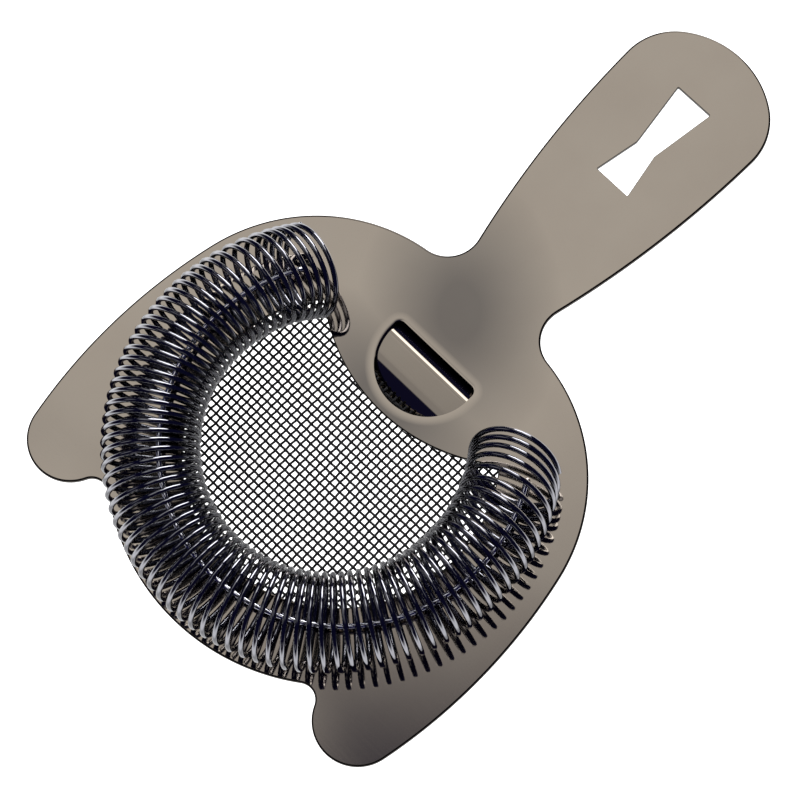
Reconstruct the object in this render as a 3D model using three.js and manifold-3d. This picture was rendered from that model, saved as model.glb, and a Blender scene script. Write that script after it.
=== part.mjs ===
// A hawthorne strainer hanging by its handle, in millimetres.
// The sheet is drawn flat, with x along the handle, y across it and z towards the spring side,
// and then stood up, so that the handle points to +Z and the spring side faces -Y.
// The origin is the centre of the spring ring on the spring-side face of the sheet.
import * as THREE from 'three';
import { mergeVertices } from 'three/addons/utils/BufferGeometryUtils.js';
import Module from 'manifold-3d';

const SHEET = 1.2; // thickness of the stamped sheet
const SMOOTH = 0.03; // how far a drawn chord may lie from its arc

// Outline of the sheet: a chain of tangent arcs, the same on both sides of the handle.
const FRONT_R = 47.4; // round front edge, about the ring's centre
const NOTCH_R = 3.4; // hollow between the front edge and a wing
const WING_X = -35.8; // centre of a wing's round tip, along the handle
const WING_TIP_R = 9.2;
const WING_SIDE_R = 118; // long outer side of a wing
const WING_SIDE_X = -13.9; // where the wings are widest
const WING_HALF_WIDTH = 52.4;
const SHOULDER_X = 3.5; // centre of the disc's round shoulder, along the handle
const SHOULDER_R = 38.7;
const NECK_R = 7.2; // hollow between the disc and the handle
const HANDLE_SIDE_R = 225; // gently bulging side of the handle
const HANDLE_SIDE_X = 103.7; // where the handle is widest
const HANDLE_HALF_WIDTH = 17.5;
const HANDLE_CORNER_R = 13.15;
const HANDLE_NOSE_R = 20.5;
const HANDLE_END_X = 115.45;

// Openings in the sheet.
const OPENING_R = 31.9; // pouring opening, a disc about the ring's centre
const TONGUE_X = 51.7; // centre of the disc of sheet that reaches into it
const TONGUE_R = 40.4;
const TAB_X = 25; // straight side of the D-shaped finger opening
const TAB_R = 11;
const SLOT_WIDTH = 2.8; // how far the finger opening goes on past its straight side
const SLOT_CORNER_R = 1.5;
const HANG_HOLE = [[102, 4.45], [87.8, 2.36], [78, 4.27]]; // half widths along the waisted hanging hole

// Woven screen, behind the sheet.
const SCREEN_THICK = 0.8; // two wires of 0.4 on top of each other
const SCREEN_LAP = 4.5; // how far it reaches behind the sheet

// Finger tab, behind the sheet.
const TAB_THICK = 1;
const TAB_LAP = 1.6; // how far it is wider than its opening
const TAB_FOOT_X = 38; // end of the foot welded to the sheet
const TAB_GROOVE_DEPTH = 1.1; // groove pressed between the foot and the tongue
const TAB_GROOVE_X = 28.4;
const TAB_SLOPE = 4; // degrees by which the flat of the tongue leaves the sheet
const TAB_BEND_X = 20; // where the tongue starts to curl away
const TAB_BEND_R = 11;
const TAB_CORNER_R = 3;

// Spring: one wire wound into a long coil, laid round as an open ring.
const RING_R = 36.1; // the coil's centre line
const RING_X = -1;
const COIL_R = 9.45; // centre of the wire about the coil's centre line
const WIRE_R = 0.55;
const COIL_CLEAR = 0.05; // between the coil and the sheet
const RING_FROM = 51.35; // ring angle of the coil's first end, from the handle, in degrees
// Turns, and degrees of ring angle for each of them: close at both ends, wider next to them.
const WINDING = [[4.3, 2.4], [4, 3.8], [20.5, 3.08], [20.7, 3.62], [21.5, 3.45], [3, 3.8], [3, 2.4]];
const WIRE_END_ANGLE = 20; // where the wire is cut off, about the coil, from its outer side
const END_LEAN = 30; // degrees by which the loops at the ring's ends lean over towards the handle
const END_TWIST = 20; // and by which they turn about the upright
const BEND_POWER = 4; // how suddenly both come on towards the ends
const WIRE_SIDES = 5;
const STEPS_PER_TURN = 12;

// Rail: a rod through the loops that keeps the spring on the sheet.
const RAIL_RING_R = 37.2;
const RAIL_RING_X = 1.4;
const RAIL_END_ANGLE = 57.5; // its ends about its own centre, from the handle, in degrees
const RAIL_R = 0.6;
const RAIL_Z = 2.9;
const RAIL_BEND_R = 1.4; // its ends turn down to the sheet
const RAIL_SIDES = 8;
const RAIL_STEPS = 96;

const rad = THREE.MathUtils.degToRad;
const wasm = await Module();
wasm.setup();

const disc = (x, y, r) => ({ x, y, r });

// Where two circles cross, on the left of the way from the first centre to the second.
function meet(a, b) {
  const dx = b.x - a.x;
  const dy = b.y - a.y;
  const apart = Math.hypot(dx, dy);
  const along = (apart ** 2 + a.r ** 2 - b.r ** 2) / (2 * apart);
  const aside = Math.sqrt(a.r ** 2 - along ** 2);
  return [
    a.x + (dx * along - dy * aside) / apart,
    a.y + (dy * along + dx * aside) / apart,
  ];
}

// The round corner of radius r that touches discs a and b from outside (out = 1) or from inside (-1).
function cornerBetween(a, b, r, out) {
  const [x, y] = meet(disc(a.x, a.y, a.r + out * r), disc(b.x, b.y, b.r + out * r));
  return { x, y, r, hollow: out > 0 };
}

// The point at which two touching arcs go over into each other.
function touch(a, b) {
  const apart = Math.hypot(b.x - a.x, b.y - a.y);
  const inside = Boolean(a.hollow) === Boolean(b.hollow);
  const reach = inside ? a.r * Math.sign(a.r - b.r) : a.r;
  return [a.x + ((b.x - a.x) / apart) * reach, a.y + ((b.y - a.y) / apart) * reach];
}

const onCircle = (c, angle) => [c.x + c.r * Math.cos(angle), c.y + c.r * Math.sin(angle)];

// Points along the circle c from one angle to another, in radians, without the last one.
function arc(c, from, to) {
  const step = 2 * Math.acos(1 - Math.min(SMOOTH / c.r, 0.1));
  const count = Math.max(2, Math.ceil(Math.abs(to - from) / step));
  const points = [];
  for (let i = 0; i < count; i += 1) {
    points.push(onCircle(c, from + ((to - from) * i) / count));
  }
  return points;
}

// Points along circle c from point p to point q, the shorter way round.
function arcThrough(c, p, q) {
  const from = Math.atan2(p[1] - c.y, p[0] - c.x);
  const turn = Math.atan2(q[1] - c.y, q[0] - c.x) - from;
  return arc(c, from, from + Math.atan2(Math.sin(turn), Math.cos(turn)));
}

// The left half's points followed by their mirror images, for an outline that is the same on both sides.
function bothSides(half) {
  const mirrored = half.filter(([, y]) => y > 1e-6).map(([x, y]) => [x, -y]);
  return [...half, ...mirrored.reverse()];
}

function sheetOutline() {
  const front = disc(0, 0, FRONT_R);
  const wingSide = disc(WING_SIDE_X, WING_HALF_WIDTH - WING_SIDE_R, WING_SIDE_R);
  const handleSide = disc(HANDLE_SIDE_X, HANDLE_HALF_WIDTH - HANDLE_SIDE_R, HANDLE_SIDE_R);
  const within = (x, r) => disc(
    x,
    wingSide.y + Math.sqrt((WING_SIDE_R - r) ** 2 - (x - WING_SIDE_X) ** 2),
    r,
  );
  const wingTip = within(WING_X, WING_TIP_R);
  const shoulder = within(SHOULDER_X, SHOULDER_R);
  const nose = disc(HANDLE_END_X - HANDLE_NOSE_R, 0, HANDLE_NOSE_R);
  const chain = [
    nose,
    cornerBetween(nose, handleSide, HANDLE_CORNER_R, -1),
    handleSide,
    cornerBetween(shoulder, handleSide, NECK_R, 1),
    shoulder,
    wingSide,
    wingTip,
    cornerBetween(front, wingTip, NOTCH_R, 1),
    front,
  ];
  const half = [];
  let at = [HANDLE_END_X, 0];
  chain.forEach((circle, i) => {
    const last = i === chain.length - 1;
    const next = last ? [-FRONT_R, 0] : touch(circle, chain[i + 1]);
    half.push(...arcThrough(circle, at, next));
    at = next;
  });
  half.push(at);
  return bothSides(half);
}

// The disc of the pouring opening with the tongue bitten out, grown all round by lap.
function openingOutline(lap) {
  const opening = disc(0, 0, OPENING_R + lap);
  const tongue = disc(TONGUE_X, 0, TONGUE_R - lap);
  const corner = meet(opening, tongue);
  const around = Math.atan2(corner[1], corner[0]);
  const bite = Math.atan2(corner[1], corner[0] - TONGUE_X);
  const half = [...arc(opening, around, Math.PI), [-opening.r, 0]];
  const back = arc(tongue, -bite, bite - 2 * Math.PI).slice(1).map(([x, y]) => [x, -y]);
  return [...bothSides(half), ...back.reverse()];
}

function tabOpeningOutline() {
  const cornerY = TAB_R - SLOT_CORNER_R;
  const corner = disc(TAB_X + SLOT_WIDTH - SLOT_CORNER_R, cornerY, SLOT_CORNER_R);
  const half = [
    ...arc(corner, 0, Math.PI / 2),
    [corner.x, TAB_R],
    ...arc(disc(TAB_X, 0, TAB_R), Math.PI / 2, Math.PI),
    [TAB_X - TAB_R, 0],
  ];
  return bothSides(half);
}

function shapeOf(outline) {
  return new THREE.Shape(outline.map(([x, y]) => new THREE.Vector2(x, y)));
}

// A flat piece whose top face lies at height top.
function slab(outline, holes, thick, top) {
  const shape = shapeOf(outline);
  shape.holes = holes.map((hole) => shapeOf(hole));
  const geometry = new THREE.ExtrudeGeometry(shape, { depth: thick, bevelEnabled: false });
  return geometry.translate(0, 0, top - thick);
}

function toSolid(geometry) {
  const bare = geometry.clone();
  bare.deleteAttribute('normal');
  bare.deleteAttribute('uv');
  const merged = mergeVertices(bare, 1e-4);
  return new wasm.Manifold(new wasm.Mesh({
    numProp: 3,
    vertProperties: new Float32Array(merged.attributes.position.array),
    triVerts: new Uint32Array(merged.index.array),
  }));
}

function toGeometry(solid) {
  const mesh = solid.getMesh();
  const geometry = new THREE.BufferGeometry();
  geometry.setAttribute('position', new THREE.BufferAttribute(mesh.vertProperties, mesh.numProp));
  geometry.setIndex(new THREE.BufferAttribute(mesh.triVerts, 1));
  geometry.computeVertexNormals();
  return geometry;
}

function plate() {
  const holes = [openingOutline(0), tabOpeningOutline(), bothSides(HANG_HOLE)];
  return slab(sheetOutline(), holes, SHEET, 0);
}

function meshScreen() {
  return slab(openingOutline(SCREEN_LAP), [], SCREEN_THICK, -SHEET);
}

// Side view of the tab: foot, groove, ridge, flat of the tongue and the curl at its end.
function tabProfile() {
  const slope = rad(TAB_SLOPE);
  const flatDrop = (TAB_X - TAB_BEND_X) * Math.tan(slope);
  const upper = disc(
    TAB_BEND_X + TAB_BEND_R * Math.sin(slope),
    -SHEET - flatDrop - TAB_BEND_R * Math.cos(slope),
    TAB_BEND_R,
  );
  const lower = disc(upper.x, upper.y, TAB_BEND_R - TAB_THICK);
  const tipX = TAB_X - TAB_R - TAB_LAP;
  const curlFrom = Math.PI / 2 + slope;
  const curlTo = Math.PI / 2 + Math.asin((upper.x - tipX) / TAB_BEND_R);
  const footFrom = 2 * TAB_GROOVE_X - TAB_X;
  const topOfFoot = [[TAB_FOOT_X, 0], [footFrom, 0], [TAB_GROOVE_X, -TAB_GROOVE_DEPTH], [TAB_X, 0]];
  const undersideOfFoot = topOfFoot.map(([x, drop]) => [x, drop - TAB_THICK]);
  const underSheet = ([x, drop]) => [x, drop - SHEET];
  return [
    ...topOfFoot.map(underSheet),
    ...arc(upper, curlFrom, curlTo),
    onCircle(upper, curlTo),
    onCircle(lower, curlTo),
    ...arc(lower, curlTo, curlFrom).slice(1),
    ...undersideOfFoot.reverse().map(underSheet),
  ];
}

// Plan of the tab: a half disc that goes on as a foot with rounded corners.
function tabOutline() {
  const half = TAB_R + TAB_LAP;
  const corner = disc(TAB_FOOT_X - TAB_CORNER_R, half - TAB_CORNER_R, TAB_CORNER_R);
  return bothSides([
    ...arc(corner, 0, Math.PI / 2),
    [corner.x, half],
    ...arc(disc(TAB_X, 0, half), Math.PI / 2, Math.PI),
    [TAB_X - half, 0],
  ]);
}

function fingerTab() {
  const width = 2 * (TAB_R + TAB_LAP) + 2;
  const side = new THREE.ExtrudeGeometry(shapeOf(tabProfile()), { depth: width, bevelEnabled: false });
  side.rotateX(Math.PI / 2).translate(0, width / 2, 0);
  const plan = slab(tabOutline(), [], 20, 5);
  return toGeometry(toSolid(side).intersect(toSolid(plan)));
}

// A curve in space given by a formula for the point at t, from 0 to 1.
class Path3 extends THREE.Curve {
  constructor(point, divisions) {
    super();
    this.point = point;
    this.arcLengthDivisions = divisions;
  }

  getPoint(t, target = new THREE.Vector3()) {
    return target.copy(this.point(t));
  }

  getTangent(t, target = new THREE.Vector3()) {
    const step = 1e-6;
    const from = this.point(Math.max(t - step, 0));
    return target.copy(this.point(Math.min(t + step, 1))).sub(from).normalize();
  }
}

function rod(radius, sides, path, steps) {
  const section = [];
  for (let i = 0; i < sides; i += 1) {
    const angle = (2 * Math.PI * i) / sides;
    section.push([radius * Math.cos(angle), radius * Math.sin(angle)]);
  }
  return new THREE.ExtrudeGeometry(shapeOf(section), { steps, extrudePath: path, bevelEnabled: false });
}

const TURNS = WINDING.reduce((sum, [turns]) => sum + turns, 0);
const HALF_SPAN = WINDING.reduce((sum, [turns, pitch]) => sum + turns * pitch, 0) / 2;

// The ring angle, in degrees, that the coil has reached after a number of turns.
function ringAngle(turn) {
  let angle = RING_FROM;
  let left = turn;
  for (const [turns, pitch] of WINDING) {
    const used = Math.min(left, turns);
    angle += used * pitch;
    left -= used;
  }
  return angle;
}

// The loops stand square to the ring in its middle, and lean and twist more and more towards its ends.
function coilPoint(turn) {
  const degrees = ringAngle(turn);
  const share = (degrees - RING_FROM) / HALF_SPAN - 1;
  const bend = share * Math.abs(share) ** (BEND_POWER - 1);
  const ring = rad(degrees);
  const facing = ring - rad(END_TWIST) * bend;
  const lean = rad(END_LEAN) * bend;
  const about = rad(WIRE_END_ANGLE) + 2 * Math.PI * (TURNS - turn);
  const out = COIL_R * Math.cos(about);
  const rise = COIL_R * Math.sin(about);
  const shift = rise * Math.sin(lean);
  return new THREE.Vector3(
    RING_X + RING_R * Math.cos(ring) + out * Math.cos(facing) - shift * Math.sin(facing),
    RING_R * Math.sin(ring) + out * Math.sin(facing) + shift * Math.cos(facing),
    COIL_CLEAR + WIRE_R + (COIL_R + rise) * Math.cos(lean),
  );
}

function spring() {
  const path = new Path3((t) => coilPoint(t * TURNS), Math.round(TURNS * 48));
  return rod(WIRE_R, WIRE_SIDES, path, Math.round(TURNS * STEPS_PER_TURN));
}

// The rail runs round inside the coil, a little way out of its end loops, and turns down to the sheet.
function springRail() {
  const from = rad(RAIL_END_ANGLE);
  const to = 2 * Math.PI - from;
  const leg = RAIL_Z - RAIL_BEND_R;
  const bend = (RAIL_BEND_R * Math.PI) / 2;
  const level = (to - from) * RAIL_RING_R - 2 * RAIL_BEND_R;
  const length = level + 2 * (leg + bend);
  const point = (t) => {
    const way = Math.min(t, 1 - t) * length;
    const turned = Math.min(Math.max(way - leg, 0) / RAIL_BEND_R, Math.PI / 2);
    const inward = RAIL_BEND_R * (1 - Math.cos(turned)) + Math.max(way - leg - bend, 0);
    const angle = t < 0.5 ? from + inward / RAIL_RING_R : to - inward / RAIL_RING_R;
    const height = Math.min(way, leg) + RAIL_BEND_R * Math.sin(turned);
    return new THREE.Vector3(
      RAIL_RING_X + RAIL_RING_R * Math.cos(angle),
      RAIL_RING_R * Math.sin(angle),
      height,
    );
  };
  return rod(RAIL_R, RAIL_SIDES, new Path3(point, RAIL_STEPS * 20), RAIL_STEPS);
}

const gunmetal = { color: 0x8c837b, roughness: 0.18, metalness: 1 };
const darkWire = { color: 0x4a4a50, roughness: 0.12, metalness: 1 };
const screenWire = { color: 0x3c3b3d, roughness: 0.3, metalness: 1 };

// Turns x to +Z, y to -X and z to -Y, so that the strainer hangs by its handle.
const HANGING = new THREE.Matrix4().set(0, -1, 0, 0, 0, 0, -1, 0, 1, 0, 0, 0, 0, 0, 0, 1);

function piece(name, geometry, look) {
  const mesh = new THREE.Mesh(geometry.applyMatrix4(HANGING), new THREE.MeshStandardMaterial(look));
  mesh.name = name;
  return mesh;
}

const group = new THREE.Group();
group.name = 'hawthorne_strainer';
group.add(
  piece('plate', plate(), gunmetal),
  piece('finger_tab', fingerTab(), gunmetal),
  piece('mesh_screen', meshScreen(), screenWire),
  piece('spring_rail', springRail(), darkWire),
  piece('spring', spring(), darkWire),
);

export default group;
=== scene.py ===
"""A hawthorne strainer with its spring side to the viewer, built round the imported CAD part.

Shapes are drawn flat in millimetres, with x along the handle, y across it and z towards the spring side,
and stood() then turns them into the frame, where the handle points to +Z and the spring side faces -Y.
"""

import math

import bmesh
import bpy
import numpy as np
from mathutils import Matrix, Vector
from mathutils.geometry import tessellate_polygon


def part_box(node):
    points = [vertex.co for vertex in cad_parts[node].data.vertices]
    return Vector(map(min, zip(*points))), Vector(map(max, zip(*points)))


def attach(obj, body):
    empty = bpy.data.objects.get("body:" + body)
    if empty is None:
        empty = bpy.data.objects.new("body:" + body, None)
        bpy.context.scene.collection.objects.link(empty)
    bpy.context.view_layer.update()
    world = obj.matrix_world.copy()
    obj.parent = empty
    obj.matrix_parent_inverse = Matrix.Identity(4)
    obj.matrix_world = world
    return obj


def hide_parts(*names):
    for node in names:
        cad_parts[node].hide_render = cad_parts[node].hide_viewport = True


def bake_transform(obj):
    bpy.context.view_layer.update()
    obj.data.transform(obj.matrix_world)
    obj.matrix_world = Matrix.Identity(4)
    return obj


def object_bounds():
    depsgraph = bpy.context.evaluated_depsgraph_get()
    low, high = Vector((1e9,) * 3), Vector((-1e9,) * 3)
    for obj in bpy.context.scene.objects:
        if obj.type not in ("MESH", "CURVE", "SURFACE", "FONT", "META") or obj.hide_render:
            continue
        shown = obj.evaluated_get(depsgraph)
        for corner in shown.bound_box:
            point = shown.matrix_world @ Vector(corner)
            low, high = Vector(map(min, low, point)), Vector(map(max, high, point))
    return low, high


MM = 0.001

# The sheet's outline is a chain of tangent arcs. Its outer sizes come from the frame.
NOTCH_R = 3.4
WING_X = -35.8
WING_TIP_R = 9.2
WING_SIDE_R = 118
WING_SIDE_X = -13.9
SHOULDER_X = 3.5
SHOULDER_R = 38.7
NECK_R = 7.2
HANDLE_SIDE_R = 225
HANDLE_SIDE_X = 103.7
HANDLE_HALF_WIDTH = 17.5
HANDLE_CORNER_R = 13.15
HANDLE_NOSE_R = 20.5

# Openings.
OPENING_R = 31.9
TONGUE_X = 51.7
TONGUE_R = 40.4
TAB_X = 25
TAB_R = 11
SLOT_WIDTH = 2.8
SLOT_CORNER_R = 1.5
HANG_HOLE = [(102, 4.45), (87.8, 2.36), (78, 4.27)]

# Edges of the sheet: the radii on its spring side and on its back, for the outer edge and the openings.
OUTER_EDGE = (0.4, 0.2)
OPENING_EDGE = (0.25, 0.2)
HANG_HOLE_EDGE = (0.1, 0.1)
HANG_HOLE_CORNER = 0.25
EDGE_STEPS = 6
EDGE_MARGIN = 0.25  # reach of the flat faces next to a rounded edge
EDGE_LINE = 0.02  # width over which the painted edge shade sets in
ROLLED_WIDTH = 1.9  # rim of the finger opening, drawn down by the punch
ROLLED_DEPTH = 0.035
ROLLED_POWER = 5  # how suddenly the rim falls away
ROLLED_STEPS = 20

# Painted shading of the sheet's surface, as the mesh carries it to the material: painted shade on the cut
# edges, none on the plain face, and painted light on the finger opening's rim.
SHADED_EDGE = -1
PLAIN = 0
LIT_RIM = 1

# Finger tab. The roundings are how far before and after a fold it starts and ends.
TAB_GROOVE_DEPTH = 1.1
TAB_GROOVE_X = 28.4
TAB_SLOPE = 4
TAB_BEND_X = 20
TAB_BEND_R = 11
TAB_CORNER_R = 3
TAB_THICK = 1
RIDGE_ROUND = 0.65
GROOVE_ROUND = 0.3
FOOT_ROUND = 0.9
TAB_COLUMNS = 33
TAB_SOFT = 0.12  # width of its softened edges

# Painted shade over the real sheet's dishing, in the neck and round the finger opening: the middle, how far
# each reaches to its side and along, and the angle from the handle to its length.
DISH_SHADES = (((37, 3), (21, 31), 45), ((14, 1), (17, 30), 90))

# Woven screen.
PITCH_ALONG = 1.484
PITCH_ACROSS = 1.408
SCREEN_WIRE_R = 0.265
SCREEN_SIDES = 8
WEAVE = 0.85  # how far a wire swings to each side, in radii
STEPS_PER_PITCH = 5
SHORTEST_ALONG = 3  # shorter ends of wire than these are left out
SHORTEST_ACROSS = 1

# Spring. The winding is in turns and degrees of ring angle for each of them.
WIRE_R = 0.55
RING_R = 36.1
RING_X = -1
COIL_R = 9.45
COIL_CLEAR = 0.05
RING_FROM = 51.35
WINDING = np.array([(4.3, 2.4), (4, 3.8), (20.5, 3.08), (20.7, 3.62), (21.5, 3.45), (3, 3.8), (3, 2.4)])
WIRE_END_ANGLE = 20
END_LEAN = 30
END_TWIST = 20
BEND_POWER = 4
WIRE_SIDES = 12
STEPS_PER_TURN = 44
TURNS = WINDING[:, 0].sum()
HALF_SPAN = WINDING.prod(axis=1).sum() / 2

# Rail.
RAIL_RING_R = 37.2
RAIL_RING_X = 1.4
RAIL_END_ANGLE = 57.5
RAIL_R = 0.6
RAIL_Z = 2.9
RAIL_BEND_R = 1.4
RAIL_SIDES = 16
RAIL_LEG_STEPS = 16
RAIL_HALF_STEPS = 160

# Ends of every wire: the flat cap's share of the radius, and how far the rounding stands out.
CAP_SHARE = 0.6
CAP_RISE = 0.35

SMOOTH = 0.004  # how far a drawn chord may lie from its arc

# Studio: each light's direction, the angles within which it is full and gone, and its strength.
# The first is the backdrop behind the strainer, and the second takes some light out of its middle.
STUDIO_LIGHTS = (
    ((0.07, 1, -0.03), 67, 92, 2.6),
    ((0, 1, 0), 40, 60, -1.6),
    ((-0.37, -0.88, 0.295), 13.5, 21.5, 1.0),
    ((-0.22, -0.97, -0.08), 5.5, 8.5, 0.75),
    ((-0.2, -0.85, 0.5), 6, 11, 4.2),
    ((-0.8, -0.4, 0.5), 3, 9, 0.9),
    ((0.5, -0.3, -0.85), 3, 9, 0.9),
    ((0.04, -1, -0.09), 4, 11, 0.7),
    ((-0.63, -0.62, -0.45), 8, 18, 0.6),
)
DARK_ROOM = (0.014, 0.014, 0.06)
OVERHEAD_PLACE = (-0.5, -0.5, 0.9)
OVERHEAD_SIZE = 0.7
OVERHEAD_POWER = 12
FLOOR_DROP = 0.16  # the floor's distance below the strainer
FLOOR_HALF = 0.9

# Camera: what it looks at, the way back to it from there, the way to its right, and its lens.
CAMERA_TARGET = Vector((0.0012, 0, 0.0157))
CAMERA_BACK = Vector((0.2188, -0.9669, -0.1316))
CAMERA_RIGHT = Vector((0.7062, 0.0638, 0.7051))
CAMERA_DISTANCE = 0.6656
CAMERA_LENS = 149.4

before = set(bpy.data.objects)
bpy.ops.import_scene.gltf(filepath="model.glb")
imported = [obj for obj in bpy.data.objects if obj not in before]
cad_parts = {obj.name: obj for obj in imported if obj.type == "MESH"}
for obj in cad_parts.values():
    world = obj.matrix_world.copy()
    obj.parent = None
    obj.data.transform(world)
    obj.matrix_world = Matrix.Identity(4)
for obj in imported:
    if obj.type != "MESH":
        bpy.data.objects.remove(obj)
cad_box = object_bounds()


def flat_box(node):
    """A node's lowest and highest corners in flat millimetres."""
    low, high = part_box(node)
    corner_a = (low[2] / MM, -high[0] / MM, -high[1] / MM)
    corner_b = (high[2] / MM, -low[0] / MM, -low[1] / MM)
    return corner_a, corner_b


SHEET_LOW, SHEET_HIGH = flat_box("plate")
FRONT_R = -SHEET_LOW[0]
HANDLE_END_X = SHEET_HIGH[0]
WING_HALF_WIDTH = SHEET_HIGH[1]
SHEET = SHEET_HIGH[2] - SHEET_LOW[2]
SCREEN_LOW, SCREEN_HIGH = flat_box("mesh_screen")
SCREEN_LAP = -SCREEN_LOW[0] - OPENING_R
TAB_LOW, TAB_HIGH = flat_box("finger_tab")
TAB_FOOT_X = TAB_HIGH[0]
TAB_LAP = TAB_HIGH[1] - TAB_R


def stood(points):
    """Flat millimetres to the frame's metres."""
    p = np.asarray(points, float)
    return np.stack([-p[..., 1], -p[..., 2], p[..., 0]], axis=-1) * MM


# ---------------------------------------------------------------- outlines


def meet(a, b):
    """Where circles a and b, each (x, y, r), cross, on the left of the way from a to b."""
    dx, dy = b[0] - a[0], b[1] - a[1]
    apart = math.hypot(dx, dy)
    along = (apart**2 + a[2] ** 2 - b[2] ** 2) / (2 * apart)
    aside = math.sqrt(a[2] ** 2 - along**2)
    return a[0] + (dx * along - dy * aside) / apart, a[1] + (dy * along + dx * aside) / apart


def corner_between(a, b, r, out):
    """The centre and radius of an arc of radius r touching a and b from outside (out 1) or inside (-1)."""
    x, y = meet((a[0], a[1], a[2] + out * r), (b[0], b[1], b[2] + out * r))
    return x, y, r


def touch(a, b, inside):
    """The point at which touching arcs a and b go over into each other."""
    apart = math.hypot(b[0] - a[0], b[1] - a[1])
    reach = math.copysign(a[2], a[2] - b[2]) if inside else a[2]
    return a[0] + (b[0] - a[0]) / apart * reach, a[1] + (b[1] - a[1]) / apart * reach


def arc(c, start, end):
    """Points along circle c from one angle to another, without the last one."""
    step = 2 * math.acos(1 - min(SMOOTH / c[2], 0.1))
    count = max(3, math.ceil(abs(end - start) / step))
    angles = np.linspace(start, end, count, endpoint=False)
    return [(c[0] + c[2] * math.cos(t), c[1] + c[2] * math.sin(t)) for t in angles]


def arc_through(c, p, q):
    """Points along circle c from p to q, the shorter way round."""
    start = math.atan2(p[1] - c[1], p[0] - c[0])
    turn = math.atan2(q[1] - c[1], q[0] - c[0]) - start
    return arc(c, start, start + math.atan2(math.sin(turn), math.cos(turn)))


def both_sides(half):
    """The left half's points and then their mirror images."""
    return half + [(x, -y) for x, y in reversed(half) if y > 1e-6]


def sheet_outline():
    front = (0, 0, FRONT_R)
    wing_side = (WING_SIDE_X, WING_HALF_WIDTH - WING_SIDE_R, WING_SIDE_R)
    handle_side = (HANDLE_SIDE_X, HANDLE_HALF_WIDTH - HANDLE_SIDE_R, HANDLE_SIDE_R)

    def within(x, r):
        return x, wing_side[1] + math.sqrt((WING_SIDE_R - r) ** 2 - (x - WING_SIDE_X) ** 2), r

    wing_tip = within(WING_X, WING_TIP_R)
    shoulder = within(SHOULDER_X, SHOULDER_R)
    nose = (HANDLE_END_X - HANDLE_NOSE_R, 0, HANDLE_NOSE_R)
    neck = corner_between(shoulder, handle_side, NECK_R, 1)
    notch = corner_between(front, wing_tip, NOTCH_R, 1)
    handle_corner = corner_between(nose, handle_side, HANDLE_CORNER_R, -1)
    chain = [nose, handle_corner, handle_side, neck, shoulder, wing_side, wing_tip, notch, front]
    hollow = (neck, notch)
    half, at = [], (HANDLE_END_X, 0)
    for circle, after in zip(chain, chain[1:]):
        point = touch(circle, after, (circle in hollow) == (after in hollow))
        half += arc_through(circle, at, point)
        at = point
    half += arc_through(front, at, (-FRONT_R, 0)) + [(-FRONT_R, 0)]
    return both_sides(half)


def opening_outline():
    """The pouring opening: a disc with a tongue bitten out of it."""
    opening, tongue = (0, 0, OPENING_R), (TONGUE_X, 0, TONGUE_R)
    corner = meet(opening, tongue)
    around = math.atan2(corner[1], corner[0])
    bite = math.atan2(corner[1], corner[0] - TONGUE_X)
    tongue_arc = arc(tongue, math.pi, bite) + [corner]
    half = tongue_arc[:-1] + arc(opening, around, math.pi) + [(-OPENING_R, 0)]
    return both_sides(half)


def tab_opening_outline():
    corner = (TAB_X + SLOT_WIDTH - SLOT_CORNER_R, TAB_R - SLOT_CORNER_R, SLOT_CORNER_R)
    half = arc(corner, 0, math.pi / 2) + [(corner[0], TAB_R)]
    half += arc((TAB_X, 0, TAB_R), math.pi / 2, math.pi) + [(TAB_X - TAB_R, 0)]
    return both_sides(half)


def hang_hole_outline():
    """The waisted hole with its corners slightly rounded."""
    corners = both_sides(HANG_HOLE)
    points = []
    for before, at, after in zip(corners[-1:] + corners, corners, corners[1:] + corners[:1]):
        points += rounded_corner(before, at, after, HANG_HOLE_CORNER)
    return points


def rounded_corner(before, at, after, cut, steps=5):
    """Points that round the corner at, starting cut before it and ending cut after it."""
    p, a, b = np.array(at, float), np.array(before, float), np.array(after, float)
    start = p + (a - p) / np.linalg.norm(a - p) * cut
    end = p + (b - p) / np.linalg.norm(b - p) * cut
    return [tuple((1 - t) ** 2 * start + 2 * t * (1 - t) * p + t**2 * end) for t in np.linspace(0, 1, steps)]


# ---------------------------------------------------------------- mesh helpers


def make_object(name, points, faces, material, sharp=40):
    """A smooth-shaded mesh object from flat points, with edges sharper than the given degrees kept."""
    mesh = bpy.data.meshes.new(name)
    mesh.from_pydata(stood(points).tolist(), [], faces)
    mesh.polygons.foreach_set("use_smooth", [True] * len(mesh.polygons))
    mesh.validate()
    mesh.update()
    mesh.set_sharp_from_angle(angle=math.radians(sharp))
    mesh.materials.append(material)
    obj = bpy.data.objects.new(name, mesh)
    bpy.context.scene.collection.objects.link(obj)
    return obj


def outward(outline, out):
    """Unit vectors at the outline's points that lead away from the sheet's metal."""
    p = np.array(outline)
    along = np.roll(p, -1, axis=0) - np.roll(p, 1, axis=0)
    along /= np.linalg.norm(along, axis=1)[:, None]
    area = np.sum(p[:, 0] * np.roll(p[:, 1], -1) - p[:, 1] * np.roll(p[:, 0], -1))
    side = np.stack([along[:, 1], -along[:, 0]], axis=1) * math.copysign(1, area)
    return side if out else -side


def quarter_round(radius, turn):
    """How far into the metal and how far down a rounded edge is, turn radians over from the face."""
    return radius * (1 - math.sin(turn)), radius * (1 - math.cos(turn))


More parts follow.
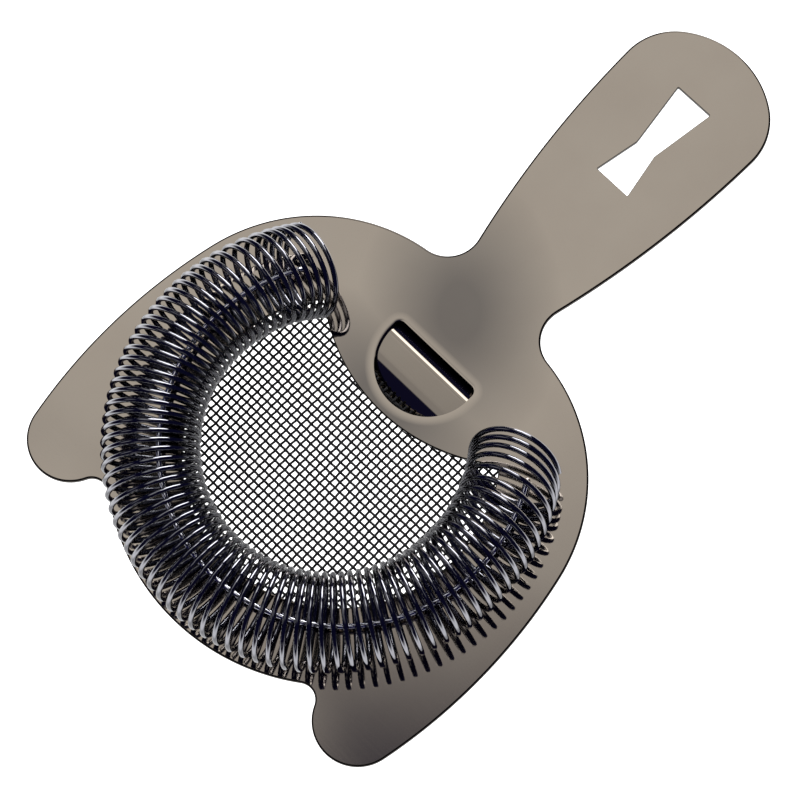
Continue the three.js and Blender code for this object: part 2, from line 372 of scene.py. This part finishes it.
def edge_profile(front, back):
    """How the sheet's face runs over its edge, front to back: (distance into the metal, height, painted
    shading), with painted shade on the rounding.
    """
    profile = [(front + EDGE_MARGIN, 0, PLAIN), (front + EDGE_LINE, 0, PLAIN)]
    for turn in np.linspace(0, math.pi / 2, EDGE_STEPS):
        inset, drop = quarter_round(front, turn)
        profile.append((inset, -drop, SHADED_EDGE))
    for turn in np.linspace(math.pi / 2, 0, EDGE_STEPS):
        inset, drop = quarter_round(back, turn)
        profile.append((inset, drop - SHEET, SHADED_EDGE))
    return profile + [(back + EDGE_MARGIN, -SHEET, PLAIN)]


def rolled_profile():
    """The same for the edge that the punch has drawn down, with painted light on its rim and painted shade
    on its cut edge.
    """
    margin, corner, back_margin = 0.3, 0.1, 0.4
    profile = [(ROLLED_WIDTH + margin, 0, PLAIN)]
    for share in np.linspace(1, 0, ROLLED_STEPS):
        drop = ROLLED_DEPTH * (1 - share) ** ROLLED_POWER
        profile.append((ROLLED_WIDTH * share, -drop, LIT_RIM * math.sin(math.pi / 2 * (1 - share))))
    return profile + [(0, corner - SHEET, SHADED_EDGE), (corner, -SHEET, SHADED_EDGE), (back_margin, -SHEET, PLAIN)]


def rings(outline, profile, out):
    """Rings of flat points that follow the outline down over its edge, each point with its painted shading.
    """
    away = outward(outline, out)
    p = np.array(outline)
    return [np.column_stack([p - away * inset, np.tile(rest, (len(p), 1))]) for inset, *rest in profile]


def quads_between(first, second, count):
    """Faces between two closed rings of count points."""
    return [(first + i, first + (i + 1) % count, second + (i + 1) % count, second + i) for i in range(count)]


def sheet_with_edges(edges):
    """Points and faces of a flat sheet from (outline, profile, is the outer edge) for each of its edges."""
    points, faces, tops, bottoms = [], [], [], []
    for outline, profile, out in edges:
        stack = rings(outline, profile, out)
        count = len(outline)
        for level, ring in enumerate(stack):
            if level:
                faces += quads_between(len(points) - count, len(points), count)
            else:
                tops.append((len(points), ring))
            if level == len(stack) - 1:
                bottoms.append((len(points), ring))
            points += ring.tolist()
    for sides in (tops, bottoms):
        index = [start + i for start, ring in sides for i in range(len(ring))]
        found = tessellate_polygon([[Vector((x, y, 0)) for x, y, *_ in ring] for _, ring in sides])
        faces += [tuple(index[i] for i in triangle) for triangle in found]
    return points, faces


def face_out(obj):
    """Turns every face of a closed mesh outwards."""
    work = bmesh.new()
    work.from_mesh(obj.data)
    bmesh.ops.recalc_face_normals(work, faces=work.faces)
    work.to_mesh(obj.data)
    work.free()
    return obj


def tube(centres, radius, sides, hint):
    """Points and faces of a round rod along a line of centres. hint points roughly away from the line."""
    centres = np.asarray(centres, float)
    along = np.gradient(centres, axis=0)
    along /= np.linalg.norm(along, axis=1)[:, None]
    up = hint - np.sum(hint * along, axis=1)[:, None] * along
    up /= np.linalg.norm(up, axis=1)[:, None]
    aside = np.cross(along, up)
    turn = np.linspace(0, 2 * math.pi, sides, endpoint=False)
    ring = np.cos(turn)[None, :, None] * up[:, None] + np.sin(turn)[None, :, None] * aside[:, None]
    body = centres[:, None] + radius * ring
    ends = []
    for at, way in ((0, -1), (-1, 1)):
        ends.append(centres[at] + radius * (CAP_SHARE * ring[at] + way * CAP_RISE * along[at]))
    points = np.concatenate([ends[0][None], body, ends[1][None]]).reshape(-1, 3)
    rows = len(centres) + 2
    first = np.arange(rows - 1)[:, None] * sides
    this, after = np.arange(sides), (np.arange(sides) + 1) % sides
    quads = np.stack([first + this, first + after, first + sides + after, first + sides + this], axis=-1)
    faces = [tuple(q) for q in quads.reshape(-1, 4).tolist()]
    faces += [tuple(range(sides))[::-1], tuple(range((rows - 1) * sides, rows * sides))]
    return points, faces


def joined(parts):
    """Several (points, faces) in one."""
    points, faces, start = [], [], 0
    for some, theirs in parts:
        points.append(np.asarray(some))
        faces += [tuple(i + start for i in face) for face in theirs]
        start += len(some)
    return np.concatenate(points), faces


# ---------------------------------------------------------------- pieces


def make_sheet(material):
    edges = [
        (sheet_outline(), edge_profile(*OUTER_EDGE), True),
        (opening_outline(), edge_profile(*OPENING_EDGE), False),
        (tab_opening_outline(), rolled_profile(), False),
        (hang_hole_outline(), edge_profile(*HANG_HOLE_EDGE), False),
    ]
    points, faces = sheet_with_edges(edges)
    points = np.array(points)
    sheet = make_object("sheet", points[:, :3], faces, material)
    # The painted shade and painted light go to the material as a point attribute.
    sheet.data.attributes.new("painted_shading", "FLOAT", "POINT").data.foreach_set("value", points[:, 3])
    return face_out(sheet)


def tab_profile():
    """The tab's upper face from its tip to its foot: rising x, height."""
    slope = math.radians(TAB_SLOPE)
    bend_z = -SHEET - (TAB_X - TAB_BEND_X) * math.tan(slope)
    centre = (TAB_BEND_X + TAB_BEND_R * math.sin(slope), bend_z - TAB_BEND_R * math.cos(slope))
    reach = (centre[0] - TAB_LOW[0]) / TAB_BEND_R
    angles = np.linspace(math.asin(reach), slope, 40)
    curl = [(centre[0] - TAB_BEND_R * math.sin(t), centre[1] + TAB_BEND_R * math.cos(t)) for t in angles]
    foot_from = 2 * TAB_GROOVE_X - TAB_X
    ridge, groove, foot = (TAB_X, -SHEET), (TAB_GROOVE_X, -SHEET - TAB_GROOVE_DEPTH), (foot_from, -SHEET)
    end = (TAB_FOOT_X, -SHEET)
    line = curl
    line += rounded_corner(curl[-1], ridge, groove, RIDGE_ROUND, 17)
    line += rounded_corner(ridge, groove, foot, GROOVE_ROUND, 9)
    line += rounded_corner(groove, foot, end, FOOT_ROUND, 9)
    return np.array(line + [end])


def tab_half_width(x):
    """Half the tab's width at x: a half disc that goes on as a foot with rounded corners."""
    half, narrowest = TAB_R + TAB_LAP, 0.5
    round_end = np.sqrt(np.clip(half**2 - np.clip(TAB_X - x, 0, None) ** 2, narrowest**2, None))
    corner = np.clip(x - (TAB_FOOT_X - TAB_CORNER_R), 0, TAB_CORNER_R)
    return round_end - TAB_CORNER_R + np.sqrt(TAB_CORNER_R**2 - corner**2)


def tab_stations(profile):
    """The x positions at which the tab's cross-sections stand, closer together at its round ends."""
    swing = np.linspace(math.radians(88), 0, 40)
    tongue = TAB_X - (TAB_X - TAB_LOW[0]) * np.sin(swing)
    corner = TAB_FOOT_X - TAB_CORNER_R * (1 - np.sin(np.linspace(0, math.pi / 2, 9)))
    folds = profile[:, 0][profile[:, 0] > TAB_X - 1]
    return np.unique(np.concatenate([tongue, folds, corner]).round(5))


def rim_of_grid(rows, across):
    """The indices round the border of a grid of points, row by row."""
    rim = list(range(across))
    rim += [i * across + across - 1 for i in range(1, rows)]
    rim += [(rows - 1) * across + j for j in range(across - 2, -1, -1)]
    return rim + [i * across for i in range(rows - 2, 0, -1)]


def make_finger_tab(material):
    profile = tab_profile()
    stations = tab_stations(profile)
    height = np.interp(stations, profile[:, 0], profile[:, 1])
    rise = np.gradient(height, stations)
    normal = np.column_stack([-rise, np.zeros_like(rise), np.ones_like(rise)]) / np.hypot(rise, 1)[:, None]
    y = tab_half_width(stations)[:, None] * np.linspace(-1, 1, TAB_COLUMNS)
    x, z = (np.broadcast_to(values[:, None], y.shape) for values in (stations, height))
    upper = np.stack([x, y, z], axis=-1)
    lower = upper - TAB_THICK * normal[:, None]
    rows, across = y.shape
    size = rows * across
    faces = []
    for i in range(rows - 1):
        for j in range(across - 1):
            a = i * across + j
            quad = (a, a + 1, a + across + 1, a + across)
            faces += [quad, tuple(size + k for k in reversed(quad))]
    rim = rim_of_grid(rows, across)
    faces += [(a, size + a, size + b, b) for a, b in zip(rim, rim[1:] + rim[:1])]
    points = np.concatenate([upper.reshape(-1, 3), lower.reshape(-1, 3)])
    obj = face_out(make_object("finger_tongue", points, faces, material, 50))
    soften(obj, TAB_SOFT)
    return obj


def soften(obj, width):
    """Rounds the sharp edges of a piece by a width in millimetres."""
    bevel = obj.modifiers.new("soft_edges", "BEVEL")
    bevel.width = width * MM
    bevel.segments = 3
    bevel.limit_method = "ANGLE"
    bevel.angle_limit = math.radians(50)
    bevel.harden_normals = True


def woven_wire(start, end, place, number, along_x):
    """Points and faces of one wire of the cloth, which goes over and under those that cross it."""
    pitch = PITCH_ALONG if along_x else PITCH_ACROSS
    count = max(4, round((end - start) / pitch * STEPS_PER_PITCH))
    run = np.linspace(start, end, count)
    side = 1 if along_x else -1
    middle = (SCREEN_LOW[2] + SCREEN_HIGH[2]) / 2
    wave = side * WEAVE * SCREEN_WIRE_R * np.cos(math.pi * (run / pitch + number))
    still = np.full(count, place)
    columns = (run, still) if along_x else (still, run)
    centres = np.column_stack([*columns, middle + wave])
    return tube(centres, SCREEN_WIRE_R, SCREEN_SIDES, np.array([0, 0, 1.0]))


def make_screen(material):
    outer, tongue = OPENING_R + SCREEN_LAP, TONGUE_R - SCREEN_LAP
    wires = []
    last = math.floor(outer / PITCH_ACROSS)
    for number in range(-last, last + 1):
        y = number * PITCH_ACROSS
        reach = math.sqrt(outer**2 - y**2)
        end = reach if abs(y) >= tongue else min(reach, TONGUE_X - math.sqrt(tongue**2 - y**2))
        if end + reach > SHORTEST_ALONG:
            wires.append(woven_wire(-reach, end, y, number, True))
    last = math.floor(outer / PITCH_ALONG)
    for number in range(-last, last + 1):
        x = number * PITCH_ALONG
        reach = math.sqrt(outer**2 - x**2)
        if x <= TONGUE_X - tongue:
            wires.append(woven_wire(-reach, reach, x, number, False))
            continue
        inner = math.sqrt(tongue**2 - (TONGUE_X - x) ** 2)
        if reach - inner > SHORTEST_ACROSS:
            wires.append(woven_wire(inner, reach, x, number, False))
            wires.append(woven_wire(-reach, -inner, x, number, False))
    return make_object("woven_screen", *joined(wires), material)


def coil_points(turn):
    """Points of the coil's wire, and of the coil's own centre line beside them."""
    after = WINDING.cumsum(axis=0)[:, 0]
    reached = RING_FROM + WINDING.prod(axis=1).cumsum()
    degrees = np.interp(turn, np.append(0, after), np.append(RING_FROM, reached))
    share = (degrees - RING_FROM) / HALF_SPAN - 1
    bend = share * np.abs(share) ** (BEND_POWER - 1)
    ring = np.radians(degrees)
    facing = ring - math.radians(END_TWIST) * bend
    lean = math.radians(END_LEAN) * bend
    about = math.radians(WIRE_END_ANGLE) + 2 * math.pi * (TURNS - turn)
    out, rise = COIL_R * np.cos(about), COIL_R * np.sin(about)
    shift = rise * np.sin(lean)
    middle = np.column_stack([RING_X + RING_R * np.cos(ring), RING_R * np.sin(ring), COIL_R * np.cos(lean)])
    middle[:, 2] += COIL_CLEAR + WIRE_R
    aside = np.column_stack([out * np.cos(facing), out * np.sin(facing), rise * np.cos(lean)])
    aside[:, 0] -= shift * np.sin(facing)
    aside[:, 1] += shift * np.cos(facing)
    return middle + aside, middle


def make_spring(material):
    wire, middle = coil_points(np.linspace(0, TURNS, round(TURNS * STEPS_PER_TURN)))
    return make_object("coil", *tube(wire, WIRE_R, WIRE_SIDES, wire - middle), material)


def make_rail(material):
    """A rod that rises from the sheet, follows the coil and goes down again, measured from its foot."""
    start = math.radians(RAIL_END_ANGLE)
    leg = RAIL_Z - RAIL_BEND_R
    bend = RAIL_BEND_R * math.pi / 2
    length = 2 * (math.pi - start) * RAIL_RING_R - 2 * RAIL_BEND_R + 2 * (leg + bend)
    foot = np.linspace(0, leg + bend, RAIL_LEG_STEPS)
    way = np.concatenate([foot, np.linspace(leg + bend, length / 2, RAIL_HALF_STEPS)[1:]])
    turned = np.clip((way - leg) / RAIL_BEND_R, 0, math.pi / 2)
    inward = (RAIL_BEND_R * (1 - np.cos(turned)) + np.clip(way - leg - bend, 0, None)) / RAIL_RING_R
    height = np.minimum(way, leg) + RAIL_BEND_R * np.sin(turned)
    angle = start + inward
    angle = np.concatenate([angle, 2 * math.pi - angle[::-1][1:]])
    height = np.concatenate([height, height[::-1][1:]])
    away = np.column_stack([np.cos(angle), np.sin(angle), np.zeros(len(angle))])
    centres = RAIL_RING_R * away + np.column_stack([np.full(len(angle), RAIL_RING_X), 0 * angle, height])
    return make_object("rail_rod", *tube(centres, RAIL_R, RAIL_SIDES, away), material)


# ---------------------------------------------------------------- materials


def new_material(name, color, roughness):
    """A metal with its node tree and its surface node."""
    material = bpy.data.materials.new(name)
    material.use_nodes = True
    surface = material.node_tree.nodes["Principled BSDF"]
    surface.inputs["Base Color"].default_value = (*color, 1)
    surface.inputs["Metallic"].default_value = 1
    surface.inputs["Roughness"].default_value = roughness
    return material, material.node_tree, surface


def noise(tree, scale, detail=2, stretch=(1, 1, 1)):
    """A noise texture in the object's own space, in features per metre."""
    where = tree.nodes.new("ShaderNodeTexCoord")
    mapping = tree.nodes.new("ShaderNodeMapping")
    mapping.inputs["Scale"].default_value = stretch
    texture = tree.nodes.new("ShaderNodeTexNoise")
    texture.inputs["Scale"].default_value = scale
    texture.inputs["Detail"].default_value = detail
    tree.links.new(where.outputs["Object"], mapping.inputs["Vector"])
    tree.links.new(mapping.outputs["Vector"], texture.inputs["Vector"])
    return texture.outputs["Fac"]


def limited(tree, value, low, high, new_low, new_high):
    """A value's range from low to high, mapped to a new range and held within it."""
    node = tree.nodes.new("ShaderNodeMapRange")
    node.inputs["From Min"].default_value = low
    node.inputs["From Max"].default_value = high
    node.inputs["To Min"].default_value = new_low
    node.inputs["To Max"].default_value = new_high
    tree.links.new(value, node.inputs["Value"])
    return node.outputs["Result"]


def spread(tree, noise_factor, low, high):
    """A noise, which mostly lies between 0.3 and 0.7, spread from low to high."""
    return limited(tree, noise_factor, 0.3, 0.7, low, high)


def blend_colors(tree, factor, low, high):
    """A colour between two others, by a factor from 0 to 1."""
    node = tree.nodes.new("ShaderNodeMix")
    node.data_type = "RGBA"
    node.inputs["A"].default_value = (*low, 1)
    node.inputs["B"].default_value = (*high, 1)
    tree.links.new(factor, node.inputs["Factor"])
    return node.outputs["Result"]


def bumps(tree, surface, *layers):
    """Surface relief from (factor, height in metres) layers."""
    normal = None
    for factor, height in layers:
        node = tree.nodes.new("ShaderNodeBump")
        node.inputs["Distance"].default_value = height
        tree.links.new(factor, node.inputs["Height"])
        if normal is not None:
            tree.links.new(normal, node.inputs["Normal"])
        normal = node.outputs["Normal"]
    tree.links.new(normal, surface.inputs["Normal"])


def combined(tree, operation, first, second):
    """Two factors put through a math operation."""
    node = tree.nodes.new("ShaderNodeMath")
    node.operation = operation
    tree.links.new(first, node.inputs[0])
    tree.links.new(second, node.inputs[1])
    return node.outputs["Value"]


def times(tree, first, second):
    """A colour multiplied by another or by a factor."""
    node = tree.nodes.new("ShaderNodeMix")
    node.data_type = "RGBA"
    node.blend_type = "MULTIPLY"
    node.inputs["Factor"].default_value = 1
    tree.links.new(first, node.inputs["A"])
    tree.links.new(second, node.inputs["B"])
    return node.outputs["Result"]


def dish_shade(tree):
    """How strong the painted shade over the sheet's dishing is, from 0 to 1."""
    depth = None
    for (x, y), (side, along), turned in DISH_SHADES:
        where = tree.nodes.new("ShaderNodeTexCoord")
        mapping = tree.nodes.new("ShaderNodeMapping")
        mapping.vector_type = "TEXTURE"
        mapping.inputs["Location"].default_value = stood([x, y, 0])
        mapping.inputs["Rotation"].default_value = (0, -math.radians(turned), 0)
        mapping.inputs["Scale"].default_value = (side * MM, 1, along * MM)
        ball = tree.nodes.new("ShaderNodeTexGradient")
        ball.gradient_type = "SPHERICAL"
        tree.links.new(where.outputs["Object"], mapping.inputs["Vector"])
        tree.links.new(mapping.outputs["Vector"], ball.inputs["Vector"])
        dish = limited(tree, ball.outputs["Fac"], 0, 0.8, 0, 1)
        depth = combined(tree, "MAXIMUM", depth, dish) if depth else dish
    return depth


def shaded(shade, color):
    """A colour scaled by a shade."""
    return tuple(shade * part for part in color)


def gunmetal(name, shade):
    """Gunmetal plating on polished, slightly wavy sheet: the material, its nodes, surface and tone."""
    material, tree, surface = new_material(name, (0.35, 0.305, 0.255), 0.04)
    low, high = shaded(shade, (0.337, 0.291, 0.243)), shaded(shade, (0.365, 0.319, 0.267))
    clouds = noise(tree, 45, 3)
    grain = noise(tree, 900, 2, (0.06, 1, 4))
    waves = noise(tree, 28, 1)
    tone = blend_colors(tree, spread(tree, clouds, 0, 1), low, high)
    tree.links.new(tone, surface.inputs["Base Color"])
    tree.links.new(spread(tree, grain, 0.03, 0.055), surface.inputs["Roughness"])
    bumps(tree, surface, (waves, 0.00006), (grain, 0.0000004))
    return material, tree, surface, tone


def polished_sheet():
    """Painted shade round the finger opening and in the neck, over the real sheet's dishing, and on its cut
    edges, with painted light on the finger opening's rim.
    """
    material, tree, surface, tone = gunmetal("gunmetal_sheet", 1)
    painted_shading = tree.nodes.new("ShaderNodeAttribute")
    painted_shading.attribute_name = "painted_shading"
    # Painted shade on the cut edges, down to 0.12 of the tone.
    edge = limited(tree, painted_shading.outputs["Fac"], SHADED_EDGE, PLAIN, 0.12, 1)
    # Painted light on the finger opening's rim, where the painted dish shade is left off.
    off_rim = limited(tree, painted_shading.outputs["Fac"], PLAIN, LIT_RIM, 1, 0)
    # Painted shade over the real sheet's dishing, kept off the finger opening's rim.
    depth = combined(tree, "MULTIPLY", dish_shade(tree), off_rim)
    dark = blend_colors(tree, depth, (1, 1, 1), (0.46, 0.475, 0.51))
    tree.links.new(times(tree, times(tree, tone, dark), edge), surface.inputs["Base Color"])
    return material


def polished_tab():
    """The sheet's plating, darkened as painted shade for the tab's place behind the sheet."""
    return gunmetal("gunmetal_tab_shaded", 0.72)[0]


def drawn_wire(name, shade):
    """Dark glossy plating with slightly uneven drawing marks."""
    material, tree, surface = new_material(name, (shade, shade, shade * 1.1), 0.06)
    marks = noise(tree, 700, 3)
    tree.links.new(spread(tree, marks, 0.04, 0.09), surface.inputs["Roughness"])
    low, high = shaded(shade, (0.92, 0.92, 1.02)), shaded(shade, (1.08, 1.08, 1.18))
    tone = blend_colors(tree, spread(tree, marks, 0, 1), low, high)
    tree.links.new(tone, surface.inputs["Base Color"])
    bumps(tree, surface, (marks, 0.000004))
    return material


def screen_wire():
    """Nearly black, dull wire."""
    material, tree, surface = new_material("screen_wire", (0.03, 0.03, 0.032), 0.4)
    marks = noise(tree, 900, 2)
    surface.inputs["Metallic"].default_value = 0
    surface.inputs["Specular IOR Level"].default_value = 0.03
    tree.links.new(spread(tree, marks, 0.35, 0.5), surface.inputs["Roughness"])
    tone = blend_colors(tree, spread(tree, marks, 0, 1), (0.016, 0.016, 0.018), (0.03, 0.029, 0.03))
    tree.links.new(tone, surface.inputs["Base Color"])
    return material


def floor_paint():
    """White paint that glows a little, so that the floor runs into the white backdrop."""
    material, tree, surface = new_material("pale_floor", (0.85, 0.85, 0.85), 0.6)
    surface.inputs["Metallic"].default_value = 0
    surface.inputs["Emission Color"].default_value = (1, 1, 1, 1)
    surface.inputs["Emission Strength"].default_value = 0.3
    tone = blend_colors(tree, noise(tree, 6, 3), (0.84, 0.84, 0.84), (0.87, 0.87, 0.87))
    tree.links.new(tone, surface.inputs["Base Color"])
    return material


# ---------------------------------------------------------------- studio


def soft_spot(tree, direction, inner, outer, strength):
    """A round soft light far away in a direction, full within inner degrees and gone beyond outer."""
    where = tree.nodes.new("ShaderNodeTexCoord")
    dot = tree.nodes.new("ShaderNodeVectorMath")
    dot.operation = "DOT_PRODUCT"
    dot.inputs[1].default_value = Vector(direction).normalized()
    fade = tree.nodes.new("ShaderNodeMapRange")
    fade.interpolation_type = "SMOOTHSTEP"
    fade.inputs["From Min"].default_value = math.cos(math.radians(outer))
    fade.inputs["From Max"].default_value = math.cos(math.radians(inner))
    fade.inputs["To Max"].default_value = strength
    tree.links.new(where.outputs["Generated"], dot.inputs[0])
    tree.links.new(dot.outputs["Value"], fade.inputs["Value"])
    return fade.outputs["Result"]


def make_studio():
    """A dark room with a white backdrop behind the strainer and soft lights before it."""
    world = bpy.data.worlds.new("studio")
    bpy.context.scene.world = world
    world.use_nodes = True
    tree = world.node_tree
    path = tree.nodes.new("ShaderNodeLightPath")
    light = path.outputs["Is Camera Ray"]
    for spot in STUDIO_LIGHTS:
        light = combined(tree, "ADD", light, soft_spot(tree, *spot))
    strength = tree.nodes.new("ShaderNodeMath")
    strength.operation = "MAXIMUM"
    strength.inputs[1].default_value = 1
    tree.links.new(light, strength.inputs[0])
    backdrop = tree.nodes["Background"]
    tree.links.new(blend_colors(tree, light, DARK_ROOM, (1, 1, 1)), backdrop.inputs["Color"])
    tree.links.new(strength.outputs["Value"], backdrop.inputs["Strength"])
    bpy.context.scene.view_settings.view_transform = "Standard"


def make_floor(material):
    """A pale floor well below the hanging strainer."""
    low, _ = cad_box
    depth = low.z - FLOOR_DROP
    mesh = bpy.data.meshes.new("floor")
    corners = [(x * FLOOR_HALF, y * FLOOR_HALF, depth) for x, y in ((-1, -1), (1, -1), (1, 1), (-1, 1))]
    mesh.from_pydata(corners, [], [(0, 1, 2, 3)])
    mesh.materials.append(material)
    floor = bpy.data.objects.new("floor", mesh)
    bpy.context.scene.collection.objects.link(floor)
    floor.visible_glossy = False


def make_overhead():
    """A soft lamp above, to the left and in front."""
    data = bpy.data.lights.new("overhead", "AREA")
    data.shape = "DISK"
    data.size = OVERHEAD_SIZE
    data.energy = OVERHEAD_POWER
    light = bpy.data.objects.new("overhead", data)
    light.location = OVERHEAD_PLACE
    light.rotation_mode = "QUATERNION"
    light.rotation_quaternion = (-Vector(OVERHEAD_PLACE)).to_track_quat("-Z", "Y")
    bpy.context.scene.collection.objects.link(light)


def make_camera():
    """The camera looks a little up at the spring side, turned so that the handle points up to the right."""
    back = CAMERA_BACK.normalized()
    right = (CAMERA_RIGHT - CAMERA_RIGHT.dot(back) * back).normalized()
    up = back.cross(right)
    data = bpy.data.cameras.new("photo_angle")
    data.lens = CAMERA_LENS
    data.clip_start, data.clip_end = 0.01, 20
    camera = bpy.data.objects.new("photo_angle", data)
    place = Matrix.Translation(CAMERA_TARGET + back * CAMERA_DISTANCE)
    camera.matrix_world = place @ Matrix((right, up, back)).transposed().to_4x4()
    bpy.context.scene.collection.objects.link(camera)
    bpy.context.scene.camera = camera


def build():
    """Makes the five pieces in place of the five solids, attaches all but the coil to the strainer's body,
    and bakes the coil's transform.
    """
    made = (
        (make_sheet(polished_sheet()), "plate", "gunmetal_sheet"),
        # The tab's plating is the sheet's, darkened as painted shade.
        (make_finger_tab(polished_tab()), "finger_tab", "gunmetal_sheet"),
        (make_screen(screen_wire()), "mesh_screen", "screen_wire"),
        # The rail's wire is the coil's dark plating made lighter, a painted highlight that whitens its
        # glints.
        (make_rail(drawn_wire("rail_wire_painted_highlight", 0.5)), "spring_rail", "dark_wire"),
        (make_spring(drawn_wire("dark_wire", 0.16)), "spring", "dark_wire"),
    )
    for obj, node, slot in made:
        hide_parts(node)
        if node != "spring":
            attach(obj, "strainer")
    coil = made[-1][0]
    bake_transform(coil)


build()
make_floor(floor_paint())
make_studio()
make_overhead()
make_camera()
